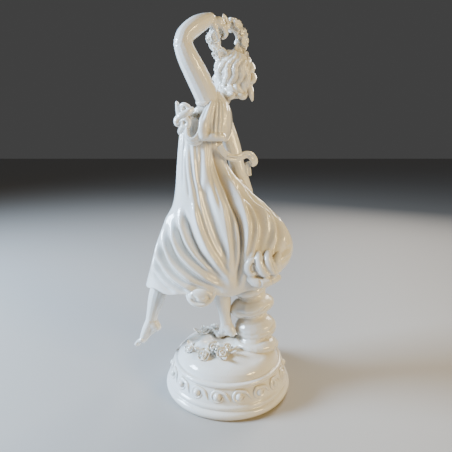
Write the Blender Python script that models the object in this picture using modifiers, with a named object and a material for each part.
"""A glazed porcelain figurine of a dancer who holds up a wreath, on a round moulded base.

Slip-cast figurines are made as many small castings and hand-pressed leaves and petals, luted together
with slip before firing. Each of those pieces is one object here. The object stands at the origin, +Z up,
the centre of its base's underside at (0, 0, 0). The dancer steps towards -X and her back is turned to -Y.

Places and sizes are in millimetres and are scaled to metres as each mesh is made.
"""

import math

import bmesh
import bpy
from mathutils import Matrix, Vector

MM = 0.001
BASE_RADIUS = 64.5  # widest part of the plinth's torus
LUTE_GAP = 0.3  # clearance left at each luted joint
WALL = 3.2  # slip-cast wall thickness

# Heights up the base.
FLOOR_THICKNESS = 4.0
PLINTH_TOP = 31.4
MOUND_BOTTOM = PLINTH_TOP + LUTE_GAP
MOUND_TOP = 45.5
BEAD_COUNT = 18
BEAD_HEIGHT = 21.5
BEAD_RING_RADIUS = 57.6
VENT_RADIUS = 2.5
VENT_OFFSET = 24.0

# The joints of the body, the frame that everything else hangs on.
PELVIS = (-24, 0, 200)
NECK_BASE = (-9, 1, 287)
HEAD_CENTRE = (2, 4, 307)
WREATH_CENTRE = (-1, -6, 338)
WREATH_AXIS = (0.35, -0.93, -0.1)
WREATH_RADIUS = 13.5
STUMP_CENTRE = (26, 4)

PORCELAIN = (0.90, 0.885, 0.84, 1.0)
GLAZE_ROUGHNESS = 0.12


def clear_scene():
    for old in list(bpy.data.objects):
        bpy.data.objects.remove(old)


def collection(name):
    made = bpy.data.collections.new(name)
    bpy.context.scene.collection.children.link(made)
    return made


clear_scene()
FIGURINE = collection("porcelain_figurine")
CUTTERS = collection("cutters")


def porcelain():
    """The one glaze that covers every piece."""
    found = bpy.data.materials.get("glazed_porcelain")
    if found:
        return found
    made = bpy.data.materials.new("glazed_porcelain")
    made.use_nodes = True
    shader = made.node_tree.nodes["Principled BSDF"]
    shader.inputs["Base Color"].default_value = PORCELAIN
    shader.inputs["Roughness"].default_value = GLAZE_ROUGHNESS
    shader.inputs["Metallic"].default_value = 0.0
    return made


# ---------------------------------------------------------------- modelling tools


def add_object(name, mesh, where=None):
    made = bpy.data.objects.new(name, mesh)
    (where or FIGURINE).objects.link(made)
    if where is None:
        mesh.materials.clear()
        mesh.materials.append(porcelain())
    return made


def tube(points, sides=10, steps=3):
    """A round bar through (x, y, z, radius) points, with filled ends, as a helper curve."""
    data = bpy.data.curves.new("tube", "CURVE")
    data.dimensions = "3D"
    data.resolution_u = steps
    data.bevel_depth = MM
    data.bevel_resolution = (sides - 4) // 2
    data.use_fill_caps = True
    spline = data.splines.new("BEZIER")
    spline.bezier_points.add(len(points) - 1)
    for knot, (x, y, z, radius) in zip(spline.bezier_points, points):
        knot.co = (x * MM, y * MM, z * MM)
        knot.radius = radius
        knot.handle_left_type = knot.handle_right_type = "AUTO"
    return add_object("tube", data, CUTTERS)


def ellipsoid(centre, radii, lean=(0, 0, 0), sides=16):
    """A ball stretched to three radii and turned by lean degrees about X, Y and Z, as a helper mesh."""
    turn = [math.radians(angle) for angle in lean]
    placed = (
        Matrix.Translation(Vector(centre) * MM)
        @ Matrix.Rotation(turn[2], 4, "Z")
        @ Matrix.Rotation(turn[1], 4, "Y")
        @ Matrix.Rotation(turn[0], 4, "X")
        @ Matrix.Diagonal((radii[0] * MM, radii[1] * MM, radii[2] * MM, 1.0))
    )
    build = bmesh.new()
    bmesh.ops.create_uvsphere(build, u_segments=sides, v_segments=sides * 5 // 8, radius=1.0, matrix=placed)
    mesh = bpy.data.meshes.new("ellipsoid")
    build.to_mesh(mesh)
    build.free()
    return add_object("ellipsoid", mesh, CUTTERS)


def evaluated_mesh(obj):
    """A plain mesh copy of an object, its modifiers applied and its ends welded."""
    bpy.context.view_layer.update()
    graph = bpy.context.evaluated_depsgraph_get()
    mesh = bpy.data.meshes.new_from_object(obj.evaluated_get(graph))
    mesh.transform(obj.matrix_world)
    build = bmesh.new()
    build.from_mesh(mesh)
    bmesh.ops.remove_doubles(build, verts=build.verts, dist=0.02 * MM)
    build.to_mesh(mesh)
    build.free()
    return mesh


def join(parts):
    """One mesh that holds every helper part, which are then removed."""
    build = bmesh.new()
    for part in parts:
        build.from_mesh(evaluated_mesh(part))
        bpy.data.objects.remove(part)
    mesh = bpy.data.meshes.new("joined")
    build.to_mesh(mesh)
    build.free()
    return mesh


def largest_island(build):
    """Deletes all but the biggest body of a bmesh, bodies being faces joined by edges of two faces."""
    unseen = set(build.faces)
    islands = []
    while unseen:
        stack = [unseen.pop()]
        island = set(stack)
        while stack:
            for edge in stack.pop().edges:
                for face in edge.link_faces:
                    if face in unseen and len(edge.link_faces) == 2:
                        unseen.discard(face)
                        island.add(face)
                        stack.append(face)
        islands.append(island)
    islands.sort(key=len)
    spare = [face for island in islands[:-1] for face in island]
    bmesh.ops.delete(build, geom=spare, context="FACES")


def bake(obj):
    """Applies an object's modifiers and keeps its biggest body."""
    mesh = evaluated_mesh(obj)
    build = bmesh.new()
    build.from_mesh(mesh)
    largest_island(build)
    bmesh.ops.triangulate(build, faces=build.faces)
    build.to_mesh(mesh)
    build.free()
    obj.modifiers.clear()
    obj.data = mesh
    mesh.shade_smooth()
    mesh.set_sharp_from_angle(angle=math.radians(50))
    return obj


def fuse(name, parts, voxel, triangles, rounds=4):
    """Melts overlapping helper parts into one soft body of about so many triangles, as clay is modelled."""
    made = add_object(name, join(parts))
    melt = made.modifiers.new("melt", "REMESH")
    melt.mode = "VOXEL"
    melt.voxel_size = voxel * MM
    soften = made.modifiers.new("soften", "SMOOTH")
    soften.factor = 0.5
    soften.iterations = rounds
    bake(made)
    thin = made.modifiers.new("thin", "DECIMATE")
    thin.ratio = min(1.0, triangles / len(made.data.polygons))
    return bake(made)


def grown(obj, gap):
    """A cutter: a copy of the object, swollen by the gap."""
    mesh = obj.data.copy()
    build = bmesh.new()
    build.from_mesh(mesh)
    build.normal_update()
    for vert in build.verts:
        vert.co += vert.normal * (gap * MM * vert.calc_shell_factor())
    build.to_mesh(mesh)
    build.free()
    cutter = add_object("cutter_" + obj.name, mesh, CUTTERS)
    cutter.hide_render = True
    cutter.display_type = "WIRE"
    return cutter


def lute(piece, *neighbours):
    """Cuts a piece back so that it only just clears the neighbours that it is luted to."""
    for neighbour in neighbours:
        whole = piece.data.copy()
        cutter = grown(neighbour, LUTE_GAP)
        for solver in ("EXACT", "MANIFOLD"):
            cut = piece.modifiers.new("lute", "BOOLEAN")
            cut.operation = "DIFFERENCE"
            cut.solver = solver
            cut.object = cutter
            bake(piece)
            if piece.data.polygons:
                break
            piece.data = whole
    return piece


def turned(name, profile, steps):
    """A solid of revolution about Z from (radius, height) points that run down its outer side."""
    build = bmesh.new()
    verts = [build.verts.new((r * MM, 0, z * MM)) for r, z in profile]
    for first, second in zip(verts, verts[1:]):
        build.edges.new((first, second))
    mesh = bpy.data.meshes.new(name)
    build.to_mesh(mesh)
    build.free()
    made = add_object(name, mesh)
    spin = made.modifiers.new("spin", "SCREW")
    spin.steps = spin.render_steps = steps
    spin.use_merge_vertices = True
    spin.merge_threshold = 0.00001
    return made


def smooth_values(keys, count):
    """Catmull-Rom values through rows of numbers, count rows in all."""
    rows = [keys[0]] + list(keys) + [keys[-1]]
    made = []
    for step in range(count):
        place = step * (len(keys) - 1) / (count - 1)
        knot = min(int(place), len(keys) - 2)
        t = place - knot
        made.append(
            tuple(
                0.5
                * (
                    2 * b
                    + (c - a) * t
                    + (2 * a - 5 * b + 4 * c - d) * t * t
                    + (3 * b - a - 3 * c + d) * t * t * t
                )
                for a, b, c, d in zip(rows[knot], rows[knot + 1], rows[knot + 2], rows[knot + 3])
            )
        )
    return made


def oval_ring(level, count, ripple=0.0, ripples=0):
    """Points round one level, given as (z, left, right, near, far): an oval of four unlike quarters."""
    z, left, right, near, far = level
    middle = (left + right) / 2
    ring = []
    for step in range(count):
        angle = 2 * math.pi * step / count
        wave = 1 + ripple * math.cos(ripples * angle)
        along = (right - left) / 2 * math.cos(angle) * wave
        across = (far if math.sin(angle) > 0 else -near) * math.sin(angle) * wave
        ring.append(Vector((middle + along, across, z)) * MM)
    return ring


def loft(name, rings, closed_ends):
    """A skin through rings of points, all of the same count, its ends closed or left open."""
    build = bmesh.new()
    rows = [[build.verts.new(point) for point in ring] for ring in rings]
    for upper, lower in zip(rows, rows[1:]):
        for here in range(len(upper)):
            after = (here + 1) % len(upper)
            build.faces.new((upper[here], upper[after], lower[after], lower[here]))
    if closed_ends:
        build.faces.new(rows[0])
        build.faces.new(rows[-1])
    bmesh.ops.recalc_face_normals(build, faces=build.faces)
    mesh = bpy.data.meshes.new(name)
    build.to_mesh(mesh)
    build.free()
    return add_object(name, mesh)


def blade(name, root, tip, width, thickness, bulge):
    """A hand-pressed leaf or petal: a lens-shaped body from root to tip, bowed to one side by the bulge vector."""
    start, end, bow = Vector(root), Vector(tip), Vector(bulge)
    along = (end - start).normalized()
    face = bow - along * bow.dot(along)
    face.normalize()
    side = along.cross(face)
    rings = []
    for share, spread in ((0.0, 0.35), (0.3, 0.9), (0.6, 1.0), (0.85, 0.6), (1.0, 0.12)):
        middle = start.lerp(end, share) + bow * math.sin(math.pi * share)
        half = width / 2 * spread
        rings.append(
            [
                (middle + side * half * math.cos(a) + face * thickness / 2 * math.sin(a)) * MM
                for a in (math.pi * step / 4 for step in range(8))
            ]
        )
    return loft(name, rings, True)


# ---------------------------------------------------------------- the base


def make_plinth():
    """The moulded foot: torus, fillet, a band of beads and an astragal, cast hollow with a vent in its floor."""
    inside = [(0, FLOOR_THICKNESS), (54, FLOOR_THICKNESS), (57, 7), (51.5, 25), (49, PLINTH_TOP)]
    outside = [
        (54.2, PLINTH_TOP),
        (55.8, 30.4),
        (56.2, 28.8),
        (55.6, 27.2),
        (56.6, 24.0),
        (58.6, 18.0),
        (60.4, 13.4),
        (61.9, 11.4),
        (62.0, 8.6),
        (63.8, 7.2),
        (BASE_RADIUS, 4.4),
        (63.8, 1.4),
        (62.0, 0),
        (0, 0),
    ]
    plinth = turned("base_plinth", inside + outside, BEAD_COUNT * 2)
    beads = []
    for number in range(BEAD_COUNT):
        angle = 360 / BEAD_COUNT * number
        turn = math.radians(angle)
        centre = (BEAD_RING_RADIUS * math.cos(turn), BEAD_RING_RADIUS * math.sin(turn), BEAD_HEIGHT)
        beads.append(ellipsoid(centre, (2.4, 4.0, 4.2), (0, -18, angle), sides=8))
    relief = add_object("bead_relief", join(beads), CUTTERS)
    relief.hide_render = True
    weld = plinth.modifiers.new("beads", "BOOLEAN")
    weld.operation = "UNION"
    weld.object = relief
    vent = bpy.data.meshes.new("vent")
    drill = bmesh.new()
    bmesh.ops.create_cone(
        drill,
        cap_ends=True,
        segments=16,
        radius1=VENT_RADIUS * MM,
        radius2=VENT_RADIUS * MM,
        depth=3 * FLOOR_THICKNESS * MM,
        matrix=Matrix.Translation((0, VENT_OFFSET * MM, 0)),
    )
    drill.to_mesh(vent)
    drill.free()
    hole = add_object("vent_drill", vent, CUTTERS)
    hole.hide_render = True
    bore = plinth.modifiers.new("vent", "BOOLEAN")
    bore.operation = "DIFFERENCE"
    bore.object = hole
    return bake(plinth)


def make_mound():
    """The domed ground that she dances on, a hollow casting that closes the plinth."""
    outside = [(53.4, MOUND_BOTTOM + 1.4), (53.0, 34.5), (50.6, 38.0), (45.0, 41.4), (36.0, 43.4), (24.0, 44.8), (11, 45.4)]
    inside = [(49, MOUND_BOTTOM), (46, 35.5), (40, 38.5), (24, 41.4), (0, MOUND_TOP - WALL - 1)]
    crown = [(0, MOUND_TOP)]
    profile = crown + outside[::-1] + [(52.6, MOUND_BOTTOM)] + inside
    return bake(turned("ground_mound", profile, 30))


def make_stump(mound, skirt):
    """The twisted tree stump that carries the skirt, a pile of tilted rolls on a core."""
    x, y = STUMP_CENTRE
    rolls = [
        ellipsoid((x + 1, y, 43), (26, 23, 8), (0, 4, 0)),
        ellipsoid((x + 2, y, 54), (23, 21, 8), (8, 14, 0)),
        ellipsoid((x + 2, y, 65), (20, 19, 7), (-6, 12, 0)),
        ellipsoid((x + 1, y, 79), (24, 21, 9), (6, 14, 0)),
        ellipsoid((x, y, 91), (22, 20, 8), (-8, 16, 0)),
        ellipsoid((x - 2, y, 101), (19, 18, 7), (0, 12, 0)),
        tube([(x, y, 36, 15), (x, y, 70, 15), (x - 1, y, 106, 15)]),
    ]
    return lute(fuse("tree_stump", rolls, 2.2, 700), mound, skirt)


# ---------------------------------------------------------------- the body


def foot_parts(heel, ankle, ball, toes, side):
    """Heel, arch, ball and five toes as helper parts. Side points from the little toe to the big toe."""
    heel, ankle, ball, toes, side = (Vector(point) for point in (heel, ankle, ball, toes, side))
    parts = [
        tube([(*ankle, 6.0), (*heel.lerp(ankle, 0.35), 5.6), (*heel, 3.6)], steps=2),
        tube([(*ankle, 5.6), (*ankle.lerp(ball, 0.6), 5.4), (*ball, 3.8)], steps=2),
        tube([(*heel, 3.4), (*heel.lerp(ball, 0.5), 3.4), (*ball, 3.6)], steps=2),
        tube([(*(ball + side * 3.2), 3.2), (*(ball - side * 3.6), 2.9)], steps=2),
    ]
    for number in range(5):
        across = side * (4.4 - 2.2 * number)
        reach = toes - (toes - ball) * 0.09 * number
        parts.append(tube([(*(ball + across), 2.1), (*(reach + across), 1.9 - 0.15 * number)], 8, 1))
    return parts


def make_standing_leg(mound, torso):
    """The right leg, weight on the ball of the foot, luted to the mound and up under the pelvis."""
    limb = tube(
        [
            (-17, 10, 192, 13),
            (-15, 5, 160, 11.5),
            (-12, 1, 132, 9),
            (-8.5, 2, 112, 9.2),
            (-5, -1, 92, 7.6),
            (-2.2, -4, 74, 5.6),
            (-1.5, -5, 67, 5.6),
        ]
    )
    foot = foot_parts((4.5, -9, 59), (-1.5, -5, 66), (-5, 7, 49.5), (-9, 14, 46.5), (-0.83, -0.55, 0))
    return lute(fuse("leg_standing", [limb] + foot, 1.3, 560), mound, torso)


def make_raised_leg(torso):
    """The left leg, swung forward with the foot pointed in the air."""
    limb = tube(
        [
            (-34, -10, 192, 12),
            (-45, -5, 162, 11),
            (-58, 0, 134, 9.6),
            (-67, 1, 113, 9.4),
            (-74, 1, 92, 8),
            (-79, 2, 74, 5.6),
            (-80, 2, 67, 5.4),
        ]
    )
    foot = foot_parts((-73.5, 0, 61), (-80, 2, 66), (-87.5, 6, 46), (-98, 9, 39.5), (-0.2, 0.95, -0.2))
    return lute(fuse("leg_raised", [limb] + foot, 1.3, 560), torso)


def make_torso():
    """Chest, waist and pelvis with the fitted upper dress, the core that legs, arms and neck are luted to."""
    parts = [
        ellipsoid((-22, -1, 203), (23, 22, 17)),
        ellipsoid((-24, -1, 226), (19, 19, 22)),
        ellipsoid((-24, 0, 250), (20, 21, 20)),
        ellipsoid((-33, 6, 260), (14, 14, 12)),
        ellipsoid((-30, -12, 260), (14, 12, 12)),
        ellipsoid((-13, 1, 268), (18, 24, 17)),
        ellipsoid((-16, -18, 276), (11, 10, 11)),
        ellipsoid((-5, 18, 274), (10, 10, 10)),
        tube([(-14, 1, 270, 14), (-10, 1, 284, 10)], steps=2),
    ]
    return fuse("torso", parts, 2.0, 560)


# Skirt levels from the waist to the hem: height, then how far the cloth reaches left, right, near and far.
SKIRT_LEVELS = [
    (246, -47, -5, -21, 19),
    (226, -49, 1, -24, 22),
    (206, -51, 18, -28, 25),
    (190, -54, 36, -31, 28),
    (172, -62, 55, -34, 30),
    (152, -71, 65, -37, 33),
    (134, -76, 62, -38, 35),
    (120, -80, 50, -38, 36),
    (109.5, -83.5, 40, -36, 35),
]
SKIRT_SIDES = 36
SKIRT_FOLDS = 12


def make_skirt(torso, *legs):
    """The wind-blown skirt, a thin casting open at the hem, gathered to her right."""
    levels = smooth_values(SKIRT_LEVELS, 11)
    rings = []
    for step, level in enumerate(levels):
        ripple = 0.022 * math.sin(math.pi * step / (len(levels) - 1))
        rings.append(oval_ring(level, SKIRT_SIDES, ripple, SKIRT_FOLDS))
    skirt = loft("skirt", rings, False)
    wall = skirt.modifiers.new("wall", "SOLIDIFY")
    wall.thickness = WALL * MM
    wall.offset = -1
    return lute(bake(skirt), torso, *legs)


def hand_parts(wrist, knuckles, tips, thumb_tip, side):
    """A palm, four curled fingers and a thumb as helper parts. Side points from the little finger to the first."""
    wrist, knuckles, tips, side = (Vector(point) for point in (wrist, knuckles, tips, side))
    thumb_tip = Vector(thumb_tip)
    parts = [
        tube([(*wrist, 4.3), (*(knuckles + side * 3.2), 3.2)], steps=2),
        tube([(*wrist, 4.3), (*(knuckles - side * 3.2), 3.0)], steps=2),
        tube([(*wrist, 3.2), (*(wrist.lerp(thumb_tip, 0.5) + side * 2), 2.4), (*thumb_tip, 1.8)], 8, 2),
    ]
    out = (knuckles - wrist).normalized() * 7
    for number in range(4):
        across = side * (4.6 - 3.0 * number)
        middle = knuckles.lerp(tips, 0.45) + across + out
        parts.append(tube([(*(knuckles + across), 2.2), (*middle, 1.9), (*(tips + across), 1.7)], 8, 2))
    return parts


def make_raised_arm(torso):
    """The left arm, raised with the forearm over her head and the hand closed on the wreath."""
    limb = tube(
        [
            (-15, -18, 277, 10.5),
            (-20, -22, 289, 10.6),
            (-28, -29, 305, 9.6),
            (-35, -34, 319, 8.8),
            (-34.5, -34, 328.5, 8.4),
            (-25, -28, 338.5, 7.8),
            (-13, -20, 346, 5.8),
        ]
    )
    hand = hand_parts((-12, -19, 346), (-3, -13, 346), (-1, -4, 337), (-5, -15, 336), (0.5, -0.86, 0.1))
    return lute(fuse("arm_raised", [limb] + hand, 1.3, 640), torso)


def make_lowered_arm(torso, skirt):
    """The right arm, held down and back to lift the skirt behind her."""
    limb = tube(
        [
            (-4, 20, 276, 9.6),
            (0, 23, 262, 8.8),
            (4, 22, 245, 8.0),
            (8, 20, 229, 7.8),
            (14, 20, 214, 7.2),
            (22, 25, 201, 5.2),
        ]
    )
    hand = hand_parts((23, 26, 199), (31, 30, 190), (30, 21, 186), (34, 21, 194), (0.3, 0.2, 0.9))
    return lute(fuse("arm_lowered", [limb] + hand, 1.3, 480), torso, skirt)


def make_head(torso):
    """Neck and head, tipped back, as one casting."""
    parts = [
        tube([(-11, 1, 280, 9.4), (-6, 2, 290, 8.6), (-1, 3, 299, 9)], steps=2),
        ellipsoid((1, 4, 308.5), (16.5, 13, 16), (0, -20, -30)),
        ellipsoid((-7, 8.6, 303), (9, 9, 12), (0, -20, -30)),
    ]
    return lute(fuse("head", parts, 1.6, 360), torso)


def make_hair(head, torso):
    """The hair, combed back off the face into a full knot behind the crown."""
    parts = [
        ellipsoid((4.5, 2, 310.5), (17.5, 15.5, 16.5), (0, -20, -30)),
        ellipsoid((13.5, -3, 301), (9.5, 12, 13)),
        ellipsoid((9, -2, 293), (11, 9.5, 7.5)),
    ]
    return lute(fuse("hair", parts, 1.8, 420), head, torso)


def make_curls(hair, head, torso):
    """Loose locks that hang from the knot, each a short pressed roll."""
    places = [
        ((20, -4, 313), (24, -6, 309), (22, -8, 305)),
        ((22, -2, 303), (26, -4, 299), (23, -7, 296)),
        ((21, 0, 294), (25, -2, 290), (23, -4, 285)),
        ((10, -6, 289), (13, -9, 286), (10, -10, 284)),
        ((3, -7, 292), (5, -11, 288), (1, -11, 287)),
    ]
    curls = []
    for number, (root, bend, tip) in enumerate(places, 1):
        lock = [tube([(*root, 3.2), (*bend, 3.0), (*tip, 1.8)], 8, 3)]
        curl = fuse(f"hair_curl_{number}", lock, 1.0, 120, 2)
        curls.append(lute(curl, hair, head, torso, *curls))
    return curls


# ---------------------------------------------------------------- loose drapery


def make_swag(torso, arm, skirt, head):
    """The slipped sleeve: pleats fan from the shoulder and end in a deep roll under the raised arm."""
    parts = [
        tube([(-40, -20, 271, 4), (-41, -27, 258, 5), (-31, -31, 249, 5.5), (-19, -29, 254, 5), (-12, -26, 264, 4)]),
        tube([(-13, -20, 287, 3.4), (-16, -29, 274, 4.5), (-22, -31, 258, 5)]),
        tube([(-9, -17, 289, 3.2), (-8, -25, 275, 4.5), (-11, -28, 258, 5)]),
        tube([(-6, -13, 289, 3), (-1, -19, 274, 4.5), (-2, -22, 259, 5)]),
        tube([(-5, -6, 289, 3), (3, -10, 275, 4.5), (3, -14, 260, 4.5)]),
        tube([(-24, -28, 252, 5), (-10, -27, 256, 5), (2, -18, 257, 4.5)]),
    ]
    return lute(fuse("sleeve_swag", parts, 1.8, 520), torso, arm, skirt, head)


def make_bow(torso, swag, skirt):
    """The tied knot at the breast that catches up the sleeve."""
    parts = [
        ellipsoid((-40, -22, 274), (5, 5, 5)),
        tube([(-40, -23, 274, 3), (-45, -22, 269, 3.6), (-43, -24, 263, 3)]),
        tube([(-39, -23, 275, 3), (-34, -28, 271, 3.6), (-35, -29, 265, 3)]),
        tube([(-40, -21, 276, 2.5), (-41.5, -21, 283, 1.6)], steps=2),
        tube([(-39, -21, 277, 3), (-35, -23, 280, 2.2)], steps=2),
    ]
    return lute(fuse("breast_knot", parts, 1.2, 320), torso, swag, skirt)


def make_sash(torso, skirt, arm, swag):
    """The end of the sash, flying out behind her over the lowered arm."""
    route = [(-2, -16, 238, 3), (6, -12, 233, 3), (16, -4, 235, 3), (25, 2, 236, 2.8), (29, 4, 229, 2.6), (22, 5, 219, 2.4)]
    return lute(fuse("sash_end", [tube(route, 8, 4)], 1.0, 240, 2), torso, skirt, arm, swag)


def make_gather(skirt, stump):
    """The bunch of cloth pinched up where the skirt is caught on the stump."""
    parts = [
        ellipsoid((32, -29, 127), (12, 8, 11)),
        tube([(22, -33, 131, 4), (23, -37, 122, 4), (30, -37, 114, 4)]),
        tube([(30, -36, 138, 4), (32, -40, 128, 4.5), (30, -37, 119, 4)]),
        tube([(37, -34, 138, 4), (42, -36, 129, 4.5), (41, -32, 121, 4)]),
        tube([(31, -36, 114, 4), (40, -33, 115, 4), (48, -26, 118, 4)]),
    ]
    return lute(fuse("skirt_gather", parts, 1.6, 360), skirt, stump)


def make_hem_curl(skirt):
    """The turned-up curl of the hem between the two legs."""
    parts = [
        tube([(-36, -33, 104, 3), (-30, -38, 101, 4.5), (-21, -38, 103, 4.5), (-14, -33, 107, 3)]),
        tube([(-30, -36, 107, 3), (-24, -40, 106, 3.4), (-22, -37, 101, 2.6)]),
    ]
    return lute(fuse("hem_curl", parts, 1.2, 240), skirt)


# ---------------------------------------------------------------- wreath and flowers


def wreath_frame():
    """Two vectors across the wreath and the one along its axis."""
    axis = Vector(WREATH_AXIS).normalized()
    across = axis.cross(Vector((0, 0, 1))).normalized()
    return across, axis.cross(across), axis


def make_wreath(arm, hair):
    """The ring of twisted stems that the hand closes on."""
    across, up, _ = wreath_frame()
    turn = Matrix((across, up, across.cross(up))).transposed().to_4x4()
    bpy.ops.mesh.primitive_torus_add(
        major_segments=24,
        minor_segments=8,
        major_radius=WREATH_RADIUS * MM,
        minor_radius=4.4 * MM,
    )
    ring = bpy.context.object
    ring.name = ring.data.name = "wreath_ring"
    for holder in ring.users_collection:
        holder.objects.unlink(ring)
    FIGURINE.objects.link(ring)
    ring.data.materials.append(porcelain())
    ring.data.transform(Matrix.Translation(Vector(WREATH_CENTRE) * MM) @ turn)
    return lute(bake(ring), arm, hair)


LEAF_ANGLES = (10, 60, 170, 215, 300, 345)
BLOSSOM_ANGLES = (35, 145, 192, 262)


def make_wreath_trim(ring, arm, hair):
    """Pressed leaves and small round blossoms set on the wreath."""
    across, up, axis = wreath_frame()
    centre = Vector(WREATH_CENTRE)
    made = []
    for number, degrees in enumerate(LEAF_ANGLES, 1):
        angle = math.radians(degrees)
        out = across * math.cos(angle) + up * math.sin(angle)
        onward = up * math.cos(angle) - across * math.sin(angle)
        root = centre + out * (WREATH_RADIUS + 3) + axis * 2
        tip = root + out * 4 + onward * 7
        leaf = bake(blade(f"wreath_leaf_{number}", root, tip, 5, 1.6, out * 1.5))
        made.append(lute(leaf, ring, arm, hair, *made))
    for number, degrees in enumerate(BLOSSOM_ANGLES, 1):
        angle = math.radians(degrees)
        out = across * math.cos(angle) + up * math.sin(angle)
        spot = centre + out * WREATH_RADIUS + axis * 4.6
        blossom = fuse(f"wreath_blossom_{number}", [ellipsoid(spot, (3.6, 3.6, 3.4))], 1.1, 120, 1)
        made.append(lute(blossom, ring, arm, hair, *made))
    return made


# Ground flowers: place on the mound and the radius of the open flower.
BLOSSOMS = [((-12, -32), 7.0), ((2, -26), 8.0), ((-34, -19), 5.5), ((-22, 14), 6.0)]
PETALS = 5


def ground_height(x, y):
    """How high the mound's surface lies under a point."""
    share = math.hypot(x, y) / 53.4
    return MOUND_TOP - 11 * share**4 - 2.2 * share**2


def make_ground_flowers(mound, leg, stump):
    """Open roses lying on the mound, each a button with a ring of petals."""
    made = []
    for number, ((x, y), radius) in enumerate(BLOSSOMS, 1):
        z = ground_height(x, y) + 2.5
        parts = [ellipsoid((x, y, z), (radius * 0.5, radius * 0.5, 3.5))]
        for petal in range(PETALS):
            angle = 360 / PETALS * petal + 20 * number
            turn = math.radians(angle)
            spot = (x + radius * 0.6 * math.cos(turn), y + radius * 0.6 * math.sin(turn), z + 0.6)
            parts.append(ellipsoid(spot, (radius * 0.45, radius * 0.42, 1.5), (0, -28, angle)))
        rose = fuse(f"ground_rose_{number}", parts, 1.0, 220, 2)
        made.append(lute(rose, mound, leg, stump, *made))
    return made


# Ground leaves: root and tip on the mound, as x and y.
LEAVES = [((-20, -30), (-27, -37)), ((8, -31), (13, -38)), ((-40, -14), (-45, -8)), ((-28, 18), (-36, 17)), ((11, -22), (17, -29))]


def make_ground_leaves(mound, leg, stump, roses):
    """Pressed leaves that lie between the roses."""
    made = []
    for number, (root, tip) in enumerate(LEAVES, 1):
        low = Vector((*root, ground_height(*root) + 1.6))
        high = Vector((*tip, ground_height(*tip) + 2.6))
        leaf = bake(blade(f"ground_leaf_{number}", low, high, 6, 1.8, (0, 0, 1.5)))
        made.append(lute(leaf, mound, leg, stump, *roses, *made))
    return made


def make_hair_leaf(hair, ring, trim):
    """The upright leaf of the fillet at the crown."""
    leaf = bake(blade("hair_leaf", (10, -4, 320), (11, -7, 329), 7, 2.0, (1.2, -1.2, 0)))
    return lute(leaf, hair, ring, *trim)


def main():
    make_plinth()
    mound = make_mound()
    torso = make_torso()
    leg = make_standing_leg(mound, torso)
    raised = make_raised_leg(torso)
    skirt = make_skirt(torso, leg, raised)
    stump = make_stump(mound, skirt)
    arm = make_raised_arm(torso)
    lowered = make_lowered_arm(torso, skirt)
    head = make_head(torso)
    hair = make_hair(head, torso)
    make_curls(hair, head, torso)
    swag = make_swag(torso, arm, skirt, head)
    make_bow(torso, swag, skirt)
    make_sash(torso, skirt, lowered, swag)
    make_gather(skirt, stump)
    make_hem_curl(skirt)
    ring = make_wreath(arm, hair)
    trim = make_wreath_trim(ring, arm, hair)
    make_hair_leaf(hair, ring, trim)
    roses = make_ground_flowers(mound, leg, stump)
    make_ground_leaves(mound, leg, stump, roses)
    for cutter in CUTTERS.objects:
        cutter.hide_render = True


main()
